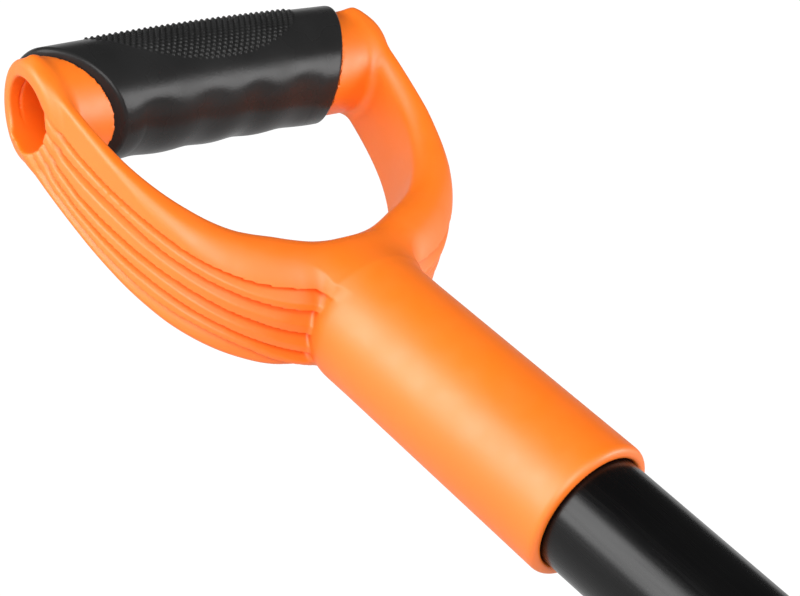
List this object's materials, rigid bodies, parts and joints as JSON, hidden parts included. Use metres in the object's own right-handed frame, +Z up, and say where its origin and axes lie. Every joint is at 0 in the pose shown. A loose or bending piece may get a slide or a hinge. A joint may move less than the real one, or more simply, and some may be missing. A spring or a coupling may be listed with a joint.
{
  "type": "avalanche shovel",
  "caption": "Packable snow shovel with a moulded D-grip, a telescoping tube shaft with a cam-lever clamp, and a riveted sheet blade on a spring button.",
  "frame": {"origin": "centre of the bounding box on the ground, with the shovel lying on the back of its blade and its shaft pulled out", "axes": "+Y along the shaft from the blade to the grip, +X along the crossbar, +Z up, away from the ground"},
  "size_m": [0.2322, 0.87, 0.0568],
  "materials": {
    "orange_plastic": "satin moulded polypropylene",
    "rubber": "matte, fine diamond texture",
    "black_tube": "black anodised, satin gloss",
    "black_plastic": "fine grained nylon",
    "steel": "zinc plated",
    "alloy": "extruded, clear anodised",
    "blade_alloy": "brushed and clear anodised"
  },
  "bodies": {
    "blade_and_lower_shaft": {"lower_shaft": "black_tube", "guide_bush": "black_plastic", "shaft_plug": "black_plastic", "button_spring": "steel", "blade_socket": "alloy", "blade": "blade_alloy", "rivet_1": "steel", "rivet_2": "steel", "rivet_3": "steel", "rivet_4": "steel", "rivet_5": "steel", "rivet_6": "steel"},
    "handle": {"d_grip": "orange_plastic", "grip_sleeve": "rubber", "grip_screw": "steel", "upper_shaft": "black_tube", "clamp_ring": "black_plastic", "clamp_bolt": "steel", "clamp_pin": "steel"},
    "lever": {"clamp_lever": "black_plastic"},
    "thumb_nut": {"clamp_nut": "steel"},
    "button": {"blade_button": "steel"}
  },
  "joints": [
    {"name": "shaft_slide", "type": "slide", "parent": "blade_and_lower_shaft", "child": "handle", "axis": [0, -1, 0], "range_m": [0, 0.135]},
    {"name": "clamp_lever_open", "type": "hinge", "parent": "handle", "child": "lever", "pos_m": [0.0255, 0.0566, 0.0339], "axis": [0, 1, 0], "range_deg": [0, 130]},
    {"name": "thumb_nut_turn", "type": "hinge", "parent": "handle", "child": "thumb_nut", "pos_m": [0.0255, 0.0566, 0.0088], "axis": [0, 0, 1], "range_deg": [-180, 180]},
    {"name": "blade_button_press", "type": "slide", "parent": "blade_and_lower_shaft", "child": "button", "axis": [0, 0, -1], "range_m": [0, 0.0052], "stiffness_N_per_m": 1500, "springref_m": -0.003, "deforming": ["button_spring"]}
  ]
}
